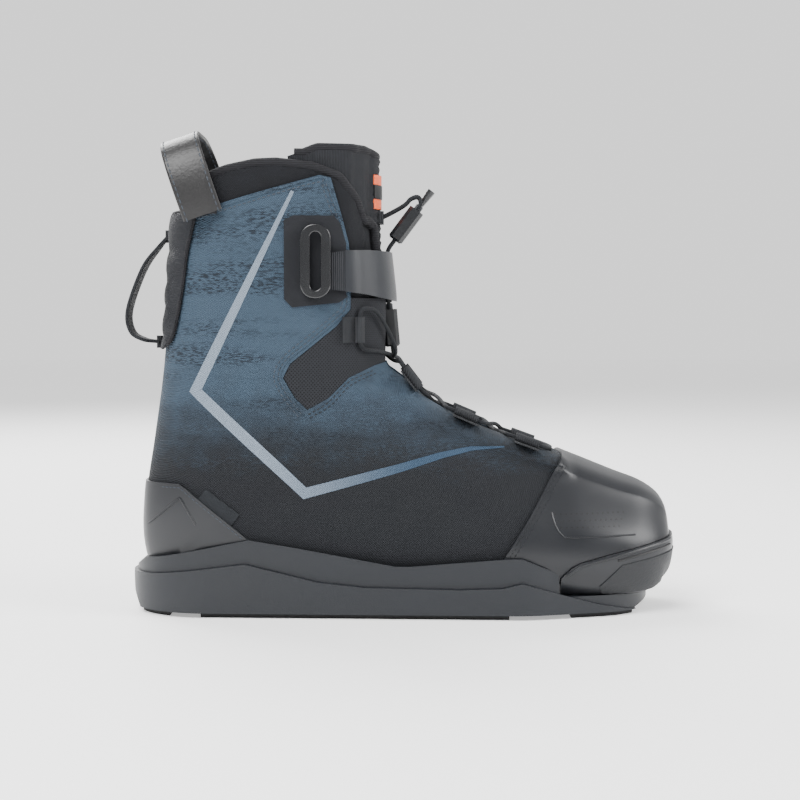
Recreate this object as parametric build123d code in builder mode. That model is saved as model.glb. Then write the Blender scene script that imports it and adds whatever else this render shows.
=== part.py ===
"""Closed-toe laced boot binding on a moulded chassis, right foot.

X runs from heel (-) to toe (+), Y from the outer side (-) to the inner side (+), Z up.
The origin is on the mounting plane, under the middle of the whole binding.
"""
from build123d import *
from math import cos, radians, sin, tan
import os

os.makedirs("parts", exist_ok=True)

# ---------------------------------------------------------------- driving dimensions (mm)
upper_length = 350.0        # heel to toe of the boot upper
upper_width = 116.0         # across the forefoot
upper_height = 290.0        # top of the cuff sections above the mounting plane

chassis_floor = 10.5        # thickness of the chassis under the sole
pad_thickness = 3.0         # rubber pads under the chassis
chassis_clear = 0.4         # between the boot and the walls of the chassis
band_inset = 2.5            # the upper band of the chassis steps in by this
board_spacing = 152.4       # board inserts are six inches apart
board_centre_x = -24.0
board_hole = 6.6            # clears an M6 board screw
board_access = 16.0         # reach for the driver through the midsole

screw_diameter = 6.0        # screws that hold the boot to the chassis
screw_head_diameter = 11.0
screw_head_height = 3.2
screw_clear = 0.2
nut_flange_diameter = 16.0
nut_flange = 1.5
nut_barrel_diameter = 9.0

overlay_wall = 2.0          # heel cup, toe cap and rear pad
quarter_wall = 2.0
liner_wall = 4.0
tongue_wall = 4.0
layer_gap = 0.2             # between one layer and the next
seam_gap = 0.3              # between pieces that lie side by side
rand_proud = 1.6            # the toe rand stands this far outside the toe cap
midsole_top = 8.4           # height of the midsole above the chassis floor
footbed_thickness = 5.4

lace_diameter = 2.6
lace_clear = 0.4            # between a lace and what it runs through
lace_slot = 42.0            # the opening over the instep
guide_lead = 4.5            # a lace runs straight this far out of a guide
guide_length = 16.0
guide_wall = 1.4
guide_tab_length = 8.0
guide_tab_thickness = 0.9

lock_length = 24.0
lock_travel = 3.0           # a lock slides this far along its laces
lock_width = 18.0
lock_depth = 10.0
lace_pitch = 10.4           # between the two laces in a lock
button_length = 12.0
button_width = 5.6
button_depth = 5.0
button_proud = 4.0
button_travel = 3.0
running_clear = 0.3

strap_wall = 2.0
patch_wall = 0.8
ring_width = 19.0
ring_height = 46.0
ring_thickness = 4.2
ring_slot_width = 6.6
ring_slot_height = 36.0

loop_band = 25.0            # width of the leather pull loop
loop_wall = 2.4
finger_band = 20.0          # width of the webbing loop at the heel
finger_wall = 2.0
finger_end_radius = 2.0
finger_gap = 0.9            # between the rolled ends of the webbing and the rear pad

reach = 120.0               # half width of every side-view cut


# ---------------------------------------------------------------- places on the upper
def along(x):
    """A place along the boot, which follows the length of the upper."""
    return x * upper_length / 350.0


def across(y):
    """A place across the boot, which follows the width of the upper."""
    return y * upper_width / 116.0


def up(z):
    """A height, measured from the sole and following the height of the upper."""
    return sole_z + (z - 13.5) * (upper_height - sole_z) / 276.5


sole_z = pad_thickness + chassis_floor
midsole_z = sole_z + midsole_top

# The upper is three upright prisms joined: a wide foot, a narrower crest over the instep and the
# shaft. Each has a plan, the hull of a few circles (x, y, radius), and a side view outline (x, z).
heel_circle = (-116.0, 0.0, 50.0)
shin_circle = (-54.4, 0.0, 50.0)
ball_circle = (70.0, 0.0, 58.0)
toe_circle = (128.0, 2.0, 47.0)
crest_circle = (100.0, 0.0, 31.0)
form_parts = [
    ((heel_circle, ball_circle, toe_circle),
     [(-180, 52), (-180, 110), (-100, 113), (20, 113), (75, 96), (120, 82), (160, 70), (184, 50),
      (184, 44), (162, 20), (150, 6), (-148, 6)]),
    ((heel_circle, shin_circle, crest_circle),
     [(-171.2, 60), (-154.2, 165), (-6, 165), (17, 135), (75, 110), (108, 98), (140, 84), (140, 60)]),
    ((heel_circle, shin_circle),
     [(-169.5, 70), (-151, 185), (-147, 242), (-143, 310), (6, 310), (6, 70)]),
]


def upper_form(inset):
    """The whole upper as one solid, its surface moved in by the inset."""
    with BuildPart() as form:
        for circles, profile in form_parts:
            with BuildPart(mode=Mode.PRIVATE) as prism:
                with BuildSketch():
                    for x, y, radius in circles:
                        with Locations((along(x), across(y))):
                            Circle(across(radius) - inset)
                    make_hull()
                extrude(amount=up(330))
                with BuildSketch(Plane.XZ):
                    with BuildLine():
                        Polyline(*[(along(x), up(z)) for x, z in profile], close=True)
                    make_face()
                    if inset:
                        offset(amount=-inset, kind=Kind.INTERSECTION, mode=Mode.REPLACE)
                extrude(amount=reach, both=True, mode=Mode.INTERSECT)
            add(prism.part)
    return form.part


quarter_out = overlay_wall + layer_gap
quarter_in = quarter_out + quarter_wall
liner_out = quarter_in + layer_gap
liner_in = liner_out + liner_wall
tongue_out = liner_in + layer_gap
tongue_in = tongue_out + tongue_wall
loop_patch_out = quarter_out - patch_wall - 0.1
hook_patch_out = loop_patch_out - patch_wall - seam_gap
strap_in = hook_patch_out - 0.05
strap_out = strap_in - strap_wall
tongue_patch_out = tongue_out - 2.2

forms = {}
for depth in (
    -rand_proud - chassis_clear, -chassis_clear, -rand_proud, 0.0, overlay_wall, quarter_out, quarter_in,
    liner_out, liner_in, tongue_out, tongue_in, loop_patch_out, hook_patch_out, strap_in, strap_out,
    tongue_patch_out, tongue_out - layer_gap, loop_patch_out - seam_gap, quarter_out - 0.1,
):
    forms[depth] = upper_form(depth)


def outline(points, inset=0.0):
    """A closed side view outline given by its corners, moved in by the inset if there is one."""
    with BuildLine() as edge:
        Polyline(*[(along(x), up(z)) for x, z in points], close=True)
    make_face(edge.edges())
    if inset:
        offset(amount=-inset, kind=Kind.INTERSECTION, mode=Mode.REPLACE)


def layer(outside, inside):
    """The wall between two depths of the upper."""
    add(forms[outside])
    add(forms[inside], mode=Mode.SUBTRACT)


def cut_slot(back, front, half_width):
    """Open the top of the instep between two places along the boot."""
    with BuildSketch(Plane.XY.offset(up(90))) as slot:
        with Locations((along((back + front) / 2), 0)):
            Rectangle(along(front - back), 2 * half_width)
    extrude(slot.sketch, amount=up(230), mode=Mode.SUBTRACT)


def cut_to(points, inset=0.0):
    """Keep what lies inside a side view outline."""
    with BuildSketch(Plane.XZ) as side_view:
        outline(points, inset)
    extrude(side_view.sketch, amount=reach, both=True, mode=Mode.INTERSECT)


def keep_side(side):
    """Keep one side of the boot: -1 is the outer side, 1 the inner side."""
    keep = Keep.BOTTOM if side < 0 else Keep.TOP
    split(bisect_by=Plane.ZX.offset(side * seam_gap / 2), keep=keep)


def side_point(depth, x, z, side):
    """Where the surface at a depth meets a line across the boot, with its outward normal."""
    hits = forms[depth].find_intersection_points(Axis((along(x), 0, up(z)), (0, side, 0)))
    point, normal = max(hits, key=lambda hit: side * hit[0].Y)
    if normal.Y * side < 0:
        normal = -normal
    return point, normal


def front_point(depth, y, z):
    """Where the surface at a depth meets a line that runs forward out of the shin."""
    hits = forms[depth].find_intersection_points(Axis((along(-75), y, up(z)), (1, 0, 0)))
    return max((hit[0] for hit in hits), key=lambda point: point.X)


def write(piece, name):
    """Label a finished piece and write it out."""
    piece.part.label = name
    export_step(piece.part, f"parts/{name}.step")


side_names = {-1: "outer", 1: "inner"}

# ---------------------------------------------------------------- chassis
chassis_circles = [(-120.0, 0.0, 53.0), (72.0, 0.0, 62.5), (112.0, 0.0, 51.0)]
chassis_top = [(-173, 26), (-162, 35), (-95, 49), (-64, 44), (-3, 33), (6, 33), (67, 38), (76, 38),
               (102, 27), (118, 22), (160, 20), (164, 15)]
chassis_groove = [(-173, 25), (-160, 26), (-97, 34), (-51, 23), (-22, 20), (38, 19), (64, 20),
                  (76, 23), (122, 9)]
rand_back = 100.0           # the toe rand begins here


def chassis_outline(inset):
    """Plan of the chassis: the hull of its circles, moved in by the inset."""
    for x, y, radius in chassis_circles:
        with Locations((along(x), across(y))):
            Circle(across(radius) - inset)
    make_hull()


screw_places = [(along(x), across(y)) for x, y in ((-135, -18), (-135, 18), (88, -24), (88, 24))]
board_places = [
    (along(board_centre_x) - board_spacing / 2, 0.0),
    (along(board_centre_x) + board_spacing / 2, 0.0),
]
chassis_height = up(50) - pad_thickness

with BuildPart() as chassis:
    with BuildSketch(Plane.XY.offset(pad_thickness)):
        chassis_outline(0)
    extrude(amount=chassis_height)
    with BuildSketch(Plane.XZ):
        with BuildLine():
            lower = [(along(x), up(z)) for x, z in chassis_groove]
            Polyline(*lower, (along(150), pad_thickness), (along(-166), pad_thickness),
                     (along(-171), up(12)), close=True)
        make_face()
    extrude(amount=reach, both=True, mode=Mode.INTERSECT)
    with BuildPart(mode=Mode.PRIVATE) as band:
        with BuildSketch(Plane.XY.offset(pad_thickness)):
            chassis_outline(band_inset)
        extrude(amount=chassis_height)
        with BuildSketch(Plane.XZ):
            with BuildLine():
                upper = [(along(x), up(z)) for x, z in chassis_top]
                Polyline(*upper, (along(160), up(8)), (along(148), pad_thickness),
                         (along(-166), pad_thickness), close=True)
            make_face()
        extrude(amount=reach, both=True, mode=Mode.INTERSECT)
    add(band.part)
    with BuildPart(mode=Mode.PRIVATE) as boot_room:
        add(forms[-chassis_clear])
        split(bisect_by=Plane.XY.offset(sole_z), keep=Keep.TOP)
    add(boot_room.part, mode=Mode.SUBTRACT)
    with BuildPart(mode=Mode.PRIVATE) as rand_room:
        add(forms[-rand_proud - chassis_clear])
        split(bisect_by=Plane.XY.offset(sole_z), keep=Keep.TOP)
        split(bisect_by=Plane.YZ.offset(along(rand_back) - 1), keep=Keep.TOP)
    add(rand_room.part, mode=Mode.SUBTRACT)
    with BuildSketch(Plane.XY.offset(pad_thickness)):
        with Locations(*board_places):
            Circle(board_hole / 2)
        with Locations(*screw_places):
            Circle(screw_diameter / 2 + screw_clear)
    extrude(amount=chassis_floor, mode=Mode.SUBTRACT)
    with BuildSketch(Plane.XY.offset(pad_thickness)):
        with Locations(*screw_places):
            Circle(screw_head_diameter / 2 + screw_clear)
    extrude(amount=screw_head_height, mode=Mode.SUBTRACT)
write(chassis, "chassis")

pad_spans = {"heel_pad": (-165, -145), "middle_pad": (-125, 68), "toe_pad": (107, 148)}
for pad_name, (pad_from, pad_to) in pad_spans.items():
    with BuildPart() as pad:
        with BuildSketch():
            chassis_outline(band_inset + 1.5)
            with Locations((along((pad_from + pad_to) / 2), 0)):
                Rectangle(along(pad_to - pad_from), 2 * reach, mode=Mode.INTERSECT)
            if pad_name == "middle_pad":
                with Locations(*board_places):
                    Circle(board_hole / 2 + 1, mode=Mode.SUBTRACT)
        extrude(amount=pad_thickness)
    write(pad, pad_name)

# ---------------------------------------------------------------- sole
with BuildPart() as chassis_screws:
    with BuildSketch(Plane.XY.offset(pad_thickness)):
        with Locations(*screw_places):
            Circle(screw_head_diameter / 2)
    extrude(amount=screw_head_height)
    with BuildSketch(Plane.XY.offset(pad_thickness)):
        with Locations(*screw_places):
            Circle(screw_diameter / 2)
    extrude(amount=midsole_z - pad_thickness - nut_flange)
    with BuildSketch(Plane.XY.offset(pad_thickness)):
        with Locations(*screw_places):
            RegularPolygon(2.3, 6)
    extrude(amount=screw_head_height * 0.6, mode=Mode.SUBTRACT)
write(chassis_screws, "chassis_screws")

with BuildPart() as tee_nuts:
    with BuildSketch(Plane.XY.offset(sole_z)):
        with Locations(*screw_places):
            Circle(nut_barrel_diameter / 2)
    extrude(amount=midsole_top)
    with BuildSketch(Plane.XY.offset(midsole_z - nut_flange)):
        with Locations(*screw_places):
            Circle(nut_flange_diameter / 2)
    extrude(amount=nut_flange)
    with BuildSketch(Plane.XY.offset(sole_z)):
        with Locations(*screw_places):
            Circle(screw_diameter / 2 + screw_clear / 2)
    extrude(amount=midsole_top, mode=Mode.SUBTRACT)
write(tee_nuts, "tee_nuts")

with BuildPart() as midsole:
    add(forms[0.0])
    with BuildSketch(Plane.XZ):
        with BuildLine():
            Polyline((along(-175), sole_z), (along(rand_back), sole_z), (along(rand_back), midsole_z),
                     (along(-175), midsole_z), close=True)
        make_face()
    extrude(amount=reach, both=True, mode=Mode.INTERSECT)
    with BuildSketch(Plane.XY.offset(sole_z)):
        with Locations(*board_places):
            Circle(board_access / 2)
        with Locations(*screw_places):
            Circle(nut_barrel_diameter / 2 + screw_clear / 2)
    extrude(amount=midsole_top, mode=Mode.SUBTRACT)
    with BuildSketch(Plane.XY.offset(midsole_z - nut_flange)):
        with Locations(*screw_places):
            Circle(nut_flange_diameter / 2 + screw_clear / 2)
    extrude(amount=nut_flange, mode=Mode.SUBTRACT)
write(midsole, "midsole")

wall_foot = midsole_z + seam_gap
liner_floor = wall_foot + 3.2
footbed_foot = liner_floor + layer_gap


def cut_above(height):
    """Keep what lies above a level."""
    split(bisect_by=Plane.XY.offset(height), keep=Keep.TOP)


# ---------------------------------------------------------------- shell of the upper
quarter_edge = [
    (-180, 250), (-127, 254), (-50, 276), (-43, 274.5), (-32, 234), (-31, 193), (-40, 182), (-68, 159),
    (-73, 150), (-68, 136), (-45, 137), (-32, 150), (-16, 157), (20, 168), (114, 120), (114, 60),
    (80, 5), (-180, 5),
]
gusset_edge = [
    (-31, 193), (-40, 182), (-68, 159), (-73, 150), (-68, 136), (-45, 137), (-32, 150), (-18, 156),
    (-18, 193),
]
for side, side_name in side_names.items():
    with BuildPart() as quarter:
        layer(quarter_out, quarter_in)
        cut_to(quarter_edge)
        cut_slot(-45, 96, lace_slot / 2)
        keep_side(side)
        cut_above(wall_foot)
    write(quarter, f"quarter_{side_name}")
    with BuildPart() as gusset:
        layer(quarter_out, quarter_in)
        cut_to(gusset_edge, seam_gap)
        keep_side(side)
    write(gusset, f"ankle_gusset_{side_name}")

with BuildPart() as heel_cup:
    layer(0.0, overlay_wall)
    cut_to([(-180, 83.5), (-139, 83.5), (-134.4, 80.6), (-94.7, 48.6), (-94.7, 10), (-180, 10)])
    cut_above(wall_foot)
write(heel_cup, "heel_cup")

with BuildPart() as rear_pad:
    layer(0.0, overlay_wall)
    cut_to([(-180, 252.5), (-128, 254), (-134.4, 228.5), (-137.6, 204), (-144, 175), (-151.7, 168),
            (-180, 165)])
write(rear_pad, "rear_pad")

rand_line = [(102.4, 27.5), (112.6, 35.0), (190.0, 51.6)]
with BuildPart() as toe_cap:
    layer(0.0, overlay_wall)
    cut_to([(65, 38), (102, 98), (112, 118), (190, 118)]
           + [(x, z + seam_gap) for x, z in rand_line[::-1]]
           + [(rand_back - 0.2, 25.5), (rand_back - 0.2, 5), (52, 5)])
    cut_above(wall_foot)
write(toe_cap, "toe_cap")

with BuildPart() as toe_rand:
    layer(-rand_proud, overlay_wall)
    cut_to(rand_line + [(190, 13.8), (rand_back + 0.3, 13.8), (rand_back + 0.3, 25)])
write(toe_rand, "toe_rand")

# ---------------------------------------------------------------- liner, footbed and tongue
liner_top = [(-180, 262), (-150, 266), (-130, 274), (-108, 280), (-90, 283.5), (-77, 284),
             (-55, 281.5), (-38, 275.5), (-28, 262), (-23.5, 249)]
liner_front = [(-20, 200), (-18, 168), (20, 168), (190, 168), (190, 5), (-180, 5)]
binding_height = 6.0
with BuildPart() as liner:
    add(forms[liner_out])
    cut_above(wall_foot)
    with BuildPart(mode=Mode.PRIVATE) as liner_room:
        add(forms[liner_in])
        cut_above(liner_floor)
    add(liner_room.part, mode=Mode.SUBTRACT)
    cut_to([(x, z - binding_height - 0.2) for x, z in liner_top] + liner_front)
    cut_slot(-40, 92, lace_slot / 2 - 3)
write(liner, "liner")

with BuildPart() as collar_binding:
    layer(liner_out, liner_in)
    cut_to(liner_top + [(x, z - binding_height) for x, z in reversed(liner_top)])
write(collar_binding, "collar_binding")

with BuildPart() as footbed:
    add(forms[tongue_out])
    cut_above(footbed_foot)
    split(bisect_by=Plane.XY.offset(footbed_foot + footbed_thickness), keep=Keep.BOTTOM)
write(footbed, "footbed")

tongue_top = [(-70, 288), (-61, 291), (-54, 294), (-46, 296), (-31, 296), (-23, 294), (-15, 290), (30, 280)]
with BuildPart() as tongue:
    layer(tongue_out, tongue_in)
    cut_to([(x, z - binding_height - 0.2) for x, z in tongue_top]
           + [(30, 170), (100, 170), (100, 78), (50, 92), (0, 118), (-45, 150), (-60, 200)])
write(tongue, "tongue")

with BuildPart() as tongue_binding:
    layer(tongue_out, tongue_in)
    cut_to(tongue_top + [(x, z - binding_height) for x, z in reversed(tongue_top)])
write(tongue_binding, "tongue_binding")

with BuildPart() as tongue_patch:
    layer(tongue_patch_out, tongue_out - layer_gap)
    with BuildSketch(Plane.YZ):
        with Locations((0, up(268))):
            RectangleRounded(20, 22, 4)
    extrude(amount=reach, mode=Mode.INTERSECT, both=True)
    cut_to([(-60, 285), (20, 285), (20, 250), (-60, 250)])
write(tongue_patch, "tongue_patch")

# ---------------------------------------------------------------- lace guides
guide_bore = lace_diameter / 2 + lace_clear
guide_radius = guide_bore + guide_wall
guide_lift = guide_radius + 0.25
guide_places = [-27, 5, 41, 80]
guide_line = lace_slot / 2 + guide_radius + 0.5
shin_guide_z = 180.0
guide_axes = {}


def guide_seat(x, side):
    """Where a guide is sewn: beside the slot on the instep, or on the front of the shaft."""
    if x > shin_circle[0] + 40:
        upright = Axis((along(x), side * guide_line, up(90)), (0, 0, 1))
        hits = forms[quarter_out].find_intersection_points(upright)
        seat, normal = max(hits, key=lambda hit: hit[0].Z)
        direction = Vector(normal.Z, 0, -normal.X)
        return seat, normal, direction
    seat, normal = side_point(quarter_out, x, shin_guide_z, side)
    return seat, normal, Vector(0, 0, -1)


for side, side_name in side_names.items():
    for number, x in enumerate(guide_places, start=1):
        seat, normal, direction = guide_seat(x, side)
        tube_plane = Plane(origin=seat + normal * guide_lift, x_dir=normal, z_dir=direction)
        half_run = direction * (guide_length / 2)
        lead = direction * guide_lead
        guide_axes[side, number] = (tube_plane.origin - half_run - lead, tube_plane.origin + half_run + lead)
        outward = 1 if tube_plane.y_dir.Y * side > 0 else -1
        with BuildPart() as guide:
            with BuildSketch(tube_plane.offset(-guide_length / 2)):
                Circle(guide_radius)
                tab_middle = outward * (guide_radius / 2 + guide_tab_length / 2)
                with Locations((-guide_radius + guide_tab_thickness / 2, tab_middle)):
                    Rectangle(guide_tab_thickness, guide_tab_length + guide_radius)
                Circle(guide_bore, mode=Mode.SUBTRACT)
            extrude(amount=guide_length)
        write(guide, f"lace_guide_{number}_{side_name}")


# ---------------------------------------------------------------- laces
def lace_radii(points, held, name):
    """Radius of the arc at each corner of a route: 0.45 of the shorter run over the half turn's tangent.

    A held corner stands beside a guide or a lock, so its arc stays within the lead outside it.
    """
    radii = []
    for index, (before, corner, after) in enumerate(zip(points, points[1:], points[2:]), start=1):
        run_in = corner - before
        run_out = after - corner
        half_turn = radians(run_in.get_angle(run_out)) / 2
        tangent = 0.45 * min(run_in.length, run_out.length)
        if index in held:
            tangent = min(tangent, guide_lead)
        radii.append(tangent / tan(half_turn))
    print(name, "radii", [round(radius, 1) for radius in radii])
    return radii


def lace_along(points, held, name):
    """Sweep a round lace along a route of straight runs and arcs, into the part being built."""
    with BuildLine() as route:
        FilletPolyline(*points, radius=lace_radii(points, held, name))
    path = route.wires()[0]
    with BuildSketch(Plane(origin=path @ 0, z_dir=path % 0)) as cut:
        Circle(lace_diameter / 2)
    sweep(cut.sketch, path=path)
    print(name, "lace length", round(path.length, 1))


# the lower lock hangs upright in front of the shin, its laces come in from below
lower_lock_foot = Vector(along(-4.8), 0, up(169))
lower_lock_lean = Vector(-0.09, 0, 1).normalized()
crossing_lift = 1.9         # one lace passes over the other by this, each side of the middle
shin_front = along(shin_circle[0] + 50.0)


def crossing(start, end, lift):
    """The middle of a lace run from one side to the other, raised or lowered."""
    middle = (start + end) / 2
    if middle.X < along(-5):
        return Vector(shin_front + 1.0, 0, up(160)) + Vector(0.80, 0, 0.60) * lift
    return middle + Vector(0.35, 0, 0.94) * lift


def half_route(first_side, lift):
    """One half of the lower lace, from its first guide down to its last one."""
    points = []
    side = first_side
    for number in range(1, len(guide_places) + 1):
        top, bottom = guide_axes[side, number]
        if points:
            points.append(crossing(points[-1], top, lift))
        points += [top, bottom]
        if number == 1:
            points.append(Vector(shin_front - 9.0, side * across(33.0), bottom.Z + 0.5))
        side = -side
    return points


def lock_entry(foot, lean, side, below):
    """A point on the line of one lace, below the foot of its lock."""
    return foot + Vector(0, side * lace_pitch / 2, 0) - lean * below


def lock_lead(side, first):
    """The end of the lower lace, from behind the strap through the lock to the first guide."""
    return [
        lock_entry(lower_lock_foot, lower_lock_lean, side, -lace_head),
        lock_entry(lower_lock_foot, lower_lock_lean, side, lock_travel + guide_lead + 0.5),
        Vector(shin_front + 2.5, side * across(19.0), up(168)),
        Vector(shin_front - 9.0, side * across(33.5), first.Z - 1.0),
    ]


lace_head = lock_length + 4.5
over = half_route(-1, crossing_lift)
under = half_route(1, -crossing_lift)
toe_turn = (over[-1] + under[-1]) / 2 + Vector(5, 0, -1.5)
lower_route = lock_lead(-1, over[0]) + over + [toe_turn] + under[::-1] + lock_lead(1, under[0])[::-1]
guide_ends = [end for ends in guide_axes.values() for end in ends]
entries = [lower_route[1], lower_route[-2]]
lower_held = [
    index for index, point in enumerate(lower_route)
    if min((point - end).length for end in guide_ends + entries) < 0.01
]
with BuildPart() as lower_lace:
    lace_along(lower_route, lower_held, "lower")
write(lower_lace, "lower_lace")

with BuildPart() as lower_cord_ends:
    for side in side_names:
        cord_tip = lock_entry(lower_lock_foot, lower_lock_lean, side, -lace_head)
        with BuildSketch(Plane(origin=cord_tip, z_dir=lower_lock_lean)):
            Circle(lace_diameter / 2 + 0.9)
        extrude(amount=4.5)
write(lower_cord_ends, "lower_cord_ends")


# ---------------------------------------------------------------- lace locks
def lock_plane(foot, lean):
    """A plane at the foot of a lock: x across it, y towards the front, z up its length."""
    return Plane(origin=foot, x_dir=(0, 1, 0), z_dir=lean)


def write_lock(name, foot, lean):
    """A lace lock: its body with two lace bores and a pocket, its sprung button and the spring."""
    plane = lock_plane(foot, lean)
    with BuildPart() as body:
        with BuildSketch(plane):
            Rectangle(lock_width, lock_depth)
            chamfer(vertices(), 2.2)
        extrude(amount=lock_length)
        chamfer(body.faces().sort_by(Axis(plane.origin, tuple(plane.z_dir)))[0].edges(), 1.2)
        with BuildSketch(plane):
            with GridLocations(lace_pitch, 1, 2, 1):
                Circle(lace_diameter / 2 + lace_clear)
        extrude(amount=lock_length, mode=Mode.SUBTRACT)
        with BuildSketch(plane.offset(lock_length - pocket_depth)):
            Rectangle(button_width + 2 * running_clear, button_depth + 2 * running_clear)
        extrude(amount=pocket_depth, mode=Mode.SUBTRACT)
    write(body, f"{name}_lock_body")
    with BuildPart() as button:
        with BuildSketch(plane.offset(lock_length - pocket_depth + spring_length)):
            RectangleRounded(button_width, button_depth, 0.8)
        extrude(amount=button_length)
        chamfer(button.faces().sort_by(Axis(plane.origin, tuple(plane.z_dir)))[-1].edges(), 0.7)
    write(button, f"{name}_lock_button")
    with BuildPart() as spring:
        with BuildSketch(plane.offset(lock_length - pocket_depth)):
            Circle(spring_radius)
            Circle(spring_radius - 0.7, mode=Mode.SUBTRACT)
        extrude(amount=spring_length - button_travel - running_clear)
    write(spring, f"{name}_lock_spring")


spring_length = 6.5
spring_radius = 2.0
pocket_depth = button_length - button_proud + spring_length
write_lock("lower", lower_lock_foot, lower_lock_lean)

upper_lock_foot = Vector(along(-3.6), 0, up(237.5))
upper_lock_lean = Vector(0.60, 0, 0.80).normalized()
write_lock("upper", upper_lock_foot, upper_lock_lean)

keeper_z = {"upper": 252.0, "lower": 212.0}
keeper_faces = {}
with BuildPart() as upper_lace:
    for side in side_names:
        y = side * lace_pitch / 2
        start = front_point(tongue_out, y, keeper_z["upper"]) + Vector(1.2, 0, 0)
        entry = lock_entry(upper_lock_foot, upper_lock_lean, side, -lock_length)
        finish = front_point(tongue_out, y, keeper_z["lower"]) + Vector(3.6, 0, 0)
        tail = lock_entry(upper_lock_foot, upper_lock_lean, side, lock_travel + guide_lead + 0.5)
        bend = Vector(finish.X + 0.6, y, (tail.Z + finish.Z) / 2)
        route = [start, start + Vector(7.5, 0, 3.5), start + Vector(17, 0, 10), entry + Vector(-3.5, 0, 8.5),
                 entry + Vector(5, 0, 6.5), tail, bend, finish]
        lace_along(route, (5,), f"upper {side}")
        keeper_faces[side] = (start, finish)
write(upper_lace, "upper_lace")

with BuildPart() as upper_cord_end:
    tip_plane = lock_plane(upper_lock_foot, upper_lock_lean).offset(lock_length + button_proud + 0.3)
    with BuildSketch(tip_plane):
        Circle(1.9)
    with BuildSketch(tip_plane.offset(11.5)):
        Ellipse(3.9, 2.9)
    loft()
write(upper_cord_end, "upper_cord_end")

for keeper_name, index in (("upper", 0), ("lower", 1)):
    middle = (keeper_faces[-1][index] + keeper_faces[1][index]) / 2
    depth = 3.4 if index == 0 else 6.6
    face_x = front_point(tongue_out, lace_pitch / 2, keeper_z[keeper_name]).X
    with BuildPart() as keeper:
        with BuildSketch(Plane(origin=(face_x, 0, middle.Z - (0 if index == 0 else 4.2)))):
            with Locations((depth / 2 - 0.6, 0)):
                Rectangle(depth, lace_pitch + 7)
        extrude(amount=4, both=True)
        add(forms[tongue_out - layer_gap], mode=Mode.SUBTRACT)
        add(upper_lace.part, mode=Mode.SUBTRACT)
    write(keeper, f"tongue_keeper_{keeper_name}")

# ---------------------------------------------------------------- ankle strap
strap_top = [(-58, 229), (-34, 229), (-14, 229), (12, 228)]
strap_foot = [(12, 198.5), (-2, 198.5), (-34, 204), (-58, 204)]
with BuildPart() as strap_band:
    layer(strap_out, strap_in)
    cut_to(strap_top + strap_foot)
    with BuildPart(mode=Mode.PRIVATE) as outer_tail:
        with BuildSketch(Plane.XZ):
            outline([(-70, 235), (-34, 235), (-34, 190), (-70, 190)])
        extrude(amount=reach)
    add(outer_tail.part, mode=Mode.SUBTRACT)
write(strap_band, "strap_band")

ring_middle = (-52.5, 222.5)
gore_from = ring_middle[0] + ring_width / 2 + 0.3
with BuildPart() as strap_gore:
    layer(strap_out, strap_in)
    cut_to([(gore_from, 228.5), (-34.3, 228.5), (-34.3, 204), (gore_from, 204)])
    keep_side(-1)
write(strap_gore, "strap_gore")

with BuildPart() as strap_hook_patch:
    layer(hook_patch_out, loop_patch_out - seam_gap)
    cut_to([(gore_from, 227), (-33, 227), (-33, 205), (gore_from, 205)])
    keep_side(-1)
write(strap_hook_patch, "strap_hook_patch")

with BuildPart() as strap_loop_patch:
    layer(loop_patch_out, quarter_out - 0.1)
    cut_to([(-72, 252), (-37, 252), (-33.5, 234), (-33.5, 198), (-72, 194)])
    keep_side(-1)
write(strap_loop_patch, "strap_loop_patch")

with BuildPart() as strap_anchor:
    layer(strap_out, quarter_out - layer_gap)
    cut_to([(-84, 231), (-59, 231), (-59, 202), (-84, 202)])
    keep_side(1)
write(strap_anchor, "strap_anchor")

ring_seat, ring_normal = side_point(hook_patch_out, ring_middle[0], ring_middle[1], -1)
ring_plane = Plane(origin=ring_seat + ring_normal * 0.5, x_dir=(1, 0, 0), z_dir=ring_normal)
with BuildPart() as strap_ring:
    with BuildSketch(ring_plane):
        RectangleRounded(ring_width, ring_height, ring_width / 2 - 0.6)
        RectangleRounded(ring_slot_width, ring_slot_height, ring_slot_width / 2 - 0.1, mode=Mode.SUBTRACT)
    extrude(amount=ring_thickness)
    fillet(strap_ring.edges().filter_by(GeomType.LINE, reverse=True), 0.8)
write(strap_ring, "strap_ring")

# ---------------------------------------------------------------- pull loops
loop_root = (-122.0, 251.0)
loop_top = 301.0
loop_lean = 19.0
loop_bulge = 4.0            # the legs of the loop bow outwards by this
loop_stand = 1.9            # and stand this far off the quarter
with BuildPart() as pull_loop:
    root, root_normal = side_point(quarter_out, loop_root[0], loop_root[1], 1)
    steps = 12
    for step in range(steps + 1):
        turn = radians(180.0 * step / steps)
        rise = sin(turn)
        side = 1 if cos(turn) >= 0 else -1
        spread = side * abs(cos(turn)) ** 0.4 if 0 < step < steps else side
        if abs(cos(turn)) < 0.01:
            spread = 0.0
        height = (up(loop_top) - root.Z) * rise
        bulge = loop_bulge * sin(2 * turn)
        half_span = root.Y + loop_stand + loop_wall / 2
        middle = Vector(
            root.X - height * tan(radians(loop_lean)), half_span * spread + bulge, root.Z + height
        )
        outward = Vector(root_normal.X * (1 - rise), root_normal.Y * spread, 0.2 * rise + 0.8 * rise ** 3)
        lean_across = Vector(cos(radians(loop_lean)), 0, sin(radians(loop_lean)))
        along_leg = Vector(-root_normal.Y, root_normal.X * spread, 0) * (1 - rise)
        flat = along_leg - lean_across * rise
        with BuildSketch(Plane(origin=middle, x_dir=flat, z_dir=flat.cross(outward))):
            Rectangle(loop_band, loop_wall)
    loft(ruled=True)
write(pull_loop, "pull_loop")

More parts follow.
